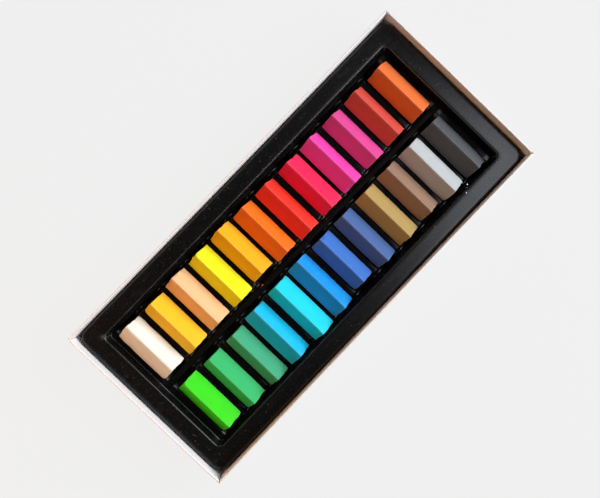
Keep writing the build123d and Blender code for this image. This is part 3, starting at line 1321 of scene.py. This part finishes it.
@dataclass
class Crumbs:
    """Small broken bits of pigment that lie on the insert.

    Each spot is x, y and size, in millimetres. A crumb is a ball pushed in and out by noise, then squashed.
    """

    name: str
    colour: str
    spots: tuple[tuple[float, float, float], ...]
    rest_z: float
    seed: int
    turns: int = 8
    rises: int = 5
    lumps: float = 0.35
    squash: Place = (1.0, 0.8, 0.6)

    def ball(self) -> np.ndarray:
        """A ball of radius 1 as rings, open at its poles.

        Returns:
            Shape (rises, turns, 3): cos(rise) * cos(turn), cos(rise) * sin(turn) and sin(rise).
        """
        turn = np.linspace(0.0, 2 * math.pi, self.turns + 1)[:-1]
        rise = np.linspace(-0.42, 0.42, self.rises) * math.pi
        level = np.outer(np.sin(rise), np.ones(self.turns))
        flat = (np.outer(np.cos(rise), np.cos(turn)), np.outer(np.cos(rise), np.sin(turn)))
        return np.stack([*flat, level], axis=-1)

    def build(self) -> bpy.types.Object:
        """Makes the crumbs, each with noise of its own.

        Returns:
            All of them, as one object.
        """
        skin = Skin()
        ball = self.ball()
        for k, (x, y, size) in enumerate(self.spots):
            lump = 1.0 + self.lumps * soft_noise(ball * 1.3 + k * 7.0, 1.0, self.seed)
            shaped = ball * lump[..., None] * np.array(self.squash) * size / 2
            shaped[..., 2] -= shaped[..., 2].min()
            index = skin.grid(shaped + np.array([x, y, self.rest_z]), closed=True)
            skin.plate(index[0][::-1])
            skin.plate(index[-1])
        return skin.mesh(self.name)


RIM_Z = FormedInsert.rim_z
BAR_Z = Wave.bar_z
CRUMBS = (
    Crumbs("white_crumbs", "white", ((78.2, -37.7, 0.9), (74.9, -40.3, 0.7), (76.9, -38.6, 0.35)), RIM_Z, 3),
    Crumbs("orange_crumbs", "orange", ((-28.3, 1.0, 0.8), (-29.4, 0.7, 0.4)), BAR_Z, 4),
    Crumbs("tan_crumbs", "ochre", ((51.9, -40.6, 0.6), (50.4, -41.3, 0.3)), RIM_Z, 5),
    Crumbs("red_crumbs", "red", ((17.9, 0.9, 0.4), (1.9, -0.8, 0.3)), BAR_Z, 6),
)


# ---------------------------------------------------------------- light, floor and camera


@dataclass(frozen=True)
class Lamp:
    """A soft rectangular lamp that looks at the middle of the box.

    azimuth is from +X towards +Y and elevation above the floor, both in degrees. distance, width and height
    are in metres, and power in watts. glints says whether it shows in shiny surfaces.
    """

    name: str
    azimuth: float
    elevation: float
    distance: float
    width: float
    height: float
    power: float
    colour: Colour
    glints: bool = True

    def build(self) -> None:
        """Hangs the lamp."""
        data = bpy.data.lights.new(self.name, "AREA")
        data.shape = "RECTANGLE"
        data.size = self.width
        data.size_y = self.height
        data.energy = self.power
        data.color = self.colour
        lamp = bpy.data.objects.new(self.name, data)
        bpy.context.scene.collection.objects.link(lamp)
        turn, rise = math.radians(self.azimuth), math.radians(self.elevation)
        away = (math.cos(rise) * math.cos(turn), math.cos(rise) * math.sin(turn), math.sin(rise))
        lamp.location = Vector(away) * self.distance
        lamp.rotation_euler = (-lamp.location).to_track_quat("-Z", "Y").to_euler()
        lamp.visible_camera = False
        lamp.visible_glossy = self.glints


@dataclass
class Studio:
    """Pale floor and surround, plain soft light, and the camera above the box.

    camera_place is in millimetres and camera_turn in radians. focal_pixels is the focal length in pixels of
    the picture. The backdrop has faint clouds, cloud_grain wide in millimetres, and round sheets have around
    points in a ring.
    """

    backdrop: Colour = linear(241, 241, 241)
    cloud: Colour = (0.8, 0.8, 0.8)
    cloud_grain: float = 60.0
    cloud_share: float = 0.01
    around: int = 64
    floor_radius: float = 3.0
    floor_gap: float = 0.0002
    camera_place: Place = (-8.19, 4.11, 286.90)
    camera_turn: Place = (0.0049, -0.0258, -0.8059)
    focal_pixels: float = 554.15
    image_width: int = 600
    sensor: float = 36.0
    room: Colour = (0.9, 0.92, 1.0)
    room_strength: float = 0.02
    lamps: tuple[Lamp, ...] = (
        Lamp("window", -36.0, 27.0, 1.2, 0.9, 0.6, 16.2, (0.90, 0.925, 1.0)),
        Lamp("window_side", -6.0, 30.0, 1.2, 0.35, 0.5, 3.6, (0.86, 0.91, 1.0)),
        Lamp("window_top", -38.0, 62.0, 1.2, 0.6, 0.35, 2.6, (0.90, 0.925, 1.0)),
        Lamp("window_front", -84.0, 30.0, 1.2, 0.22, 0.2, 1.7, (0.90, 0.925, 1.0)),
        Lamp("warm_bounce", 174.0, 30.0, 0.35, 0.2, 0.12, 0.17, (1.0, 0.68, 0.32)),
        Lamp("warm_room", 150.0, 42.0, 0.25, 0.15, 0.1, 0.11, (1.0, 0.30, 0.10), False),
        Lamp("far_room", 92.0, 12.0, 0.8, 0.4, 0.2, 1.1, (1.0, 0.92, 0.78), False),
    )

    def surround(self, name: str, shown: float, lit: float) -> bpy.types.Material:
        """A pale surface that shows its own colour and, for a small part, the light that falls on it.

        Args:
            name: The material's name.
            shown: Share of the backdrop colour that it shows by itself.
            lit: Albedo of the lit share.

        Returns:
            The material.
        """
        bench = Bench(name)
        rays = bench.node("ShaderNodeLightPath", {}, {}, "Is Camera Ray")
        glossy = Signal(bench, rays.socket.node.outputs["Is Glossy Ray"])
        through = Signal(bench, rays.socket.node.outputs["Is Transmission Ray"])
        seen = (rays + glossy + through).bounded()
        cloudy = bench.noise(self.cloud_grain, 2.0) * self.cloud_share
        tone = bench.blend(cloudy, self.backdrop, self.cloud)
        glow = bench.node("ShaderNodeEmission", {}, {"Color": tone, "Strength": 1.0})
        matt = bench.node("ShaderNodeBsdfDiffuse", {}, {"Color": (lit, lit, lit, 1.0)})
        return bench.end(bench.node("ShaderNodeMixShader", {}, {0: seen * shown, 1: matt, 2: glow}))

    def bowl(self, name: str, rings: list[tuple[float, float]], finish: bpy.types.Material) -> None:
        """A round sheet under or about the object.

        Args:
            name: The sheet's name.
            rings: Radius and height of each ring, from the middle outwards, in metres.
            finish: Its material.
        """
        turn = np.linspace(0.0, 2 * math.pi, self.around + 1)[:-1]
        circle = np.column_stack([np.cos(turn), np.sin(turn), turn * 0]) / MM
        points = [circle * radius + (0.0, 0.0, height / MM) for radius, height in rings]
        skin = Skin()
        index = skin.grid(np.array(points)[::-1], closed=True)
        if rings[0][0] < self.floor_radius:
            skin.plate(index[-1])
        sheet = skin.mesh(name)
        sheet.data.materials.append(finish)

    def build(self) -> None:
        """Sets up everything round the object: floor, far wall, lamps, room and camera."""
        edge, low = self.floor_radius, -self.floor_gap
        floor = [(0.15, low), (edge / 2, low), (edge, low)]
        self.bowl("pale_floor", floor, self.surround("pale_ground", 0.95, 0.8))
        wall = [(1.0, low), (1.05, 0.06), (1.12, 0.36), (1.15, 1.2), (1.15, 2.4)]
        wall = [(edge * share, height) for share, height in wall]
        self.bowl("pale_wall", wall, self.surround("pale_far", 1.0, 0.06))
        for lamp in self.lamps:
            lamp.build()
        self.sky()
        self.camera()

    def sky(self) -> None:
        """A dim, slightly cool room all round."""
        world = bpy.data.worlds.new("room")
        world.use_nodes = True
        node = world.node_tree.nodes["Background"]
        node.inputs["Color"].default_value = (*self.room, 1.0)
        node.inputs["Strength"].default_value = self.room_strength
        bpy.context.scene.world = world

    def camera(self) -> None:
        """Places the camera where the box is seen as it was taken."""
        data = bpy.data.cameras.new("above")
        data.sensor_fit = "HORIZONTAL"
        data.sensor_width = self.sensor
        data.lens = self.focal_pixels / self.image_width * self.sensor
        data.clip_start = 0.01
        camera = bpy.data.objects.new("above", data)
        bpy.context.scene.collection.objects.link(camera)
        camera.location = Vector(self.camera_place) * MM
        camera.rotation_euler = Euler(self.camera_turn, "XYZ")
        bpy.context.scene.camera = camera


# ---------------------------------------------------------------- putting it together


def dress(
    piece: bpy.types.Object,
    finish: bpy.types.Material,
    body: str,
    node: str | None = None,
) -> None:
    """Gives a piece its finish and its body.

    Args:
        piece: The piece.
        finish: Its material.
        body: The body that it rides on.
        node: The CAD node that it stands for, or None for an extra.
    """
    piece.data.materials.append(finish)
    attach(piece, body)
    if node:
        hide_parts(node)
    log.info("%s: %d faces, on %s", piece.name, len(piece.data.polygons), body)


def main() -> None:
    """Builds the tray, the insert, the sticks, the crumbs and the studio."""
    logging.basicConfig(level=logging.INFO, format="%(message)s")
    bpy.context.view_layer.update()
    scene = bpy.context.scene
    scene.view_settings.view_transform = "Standard"
    Studio().build()
    dress(FoldedTray().build(), WhiteCard().material(), "carton", "carton_tray")
    insert = FormedInsert()
    dress(insert.build(), BlackSheet().material(), "insert", "insert_tray")
    chalks = {}
    for seed, pastel in enumerate(Pastel):
        node = "pastel_" + pastel.name
        chalks[pastel.name] = Chalk(pastel.name, pastel.value.colour, seed).material()
        stick = Stick(pastel, seed * 31 + 5, insert.wave)
        dress(stick.build(), chalks[pastel.name], pastel.name, node)
    for crumbs in CRUMBS:
        dress(crumbs.build(), chalks[crumbs.colour], "insert")


if __name__ == "__main__":
    main()
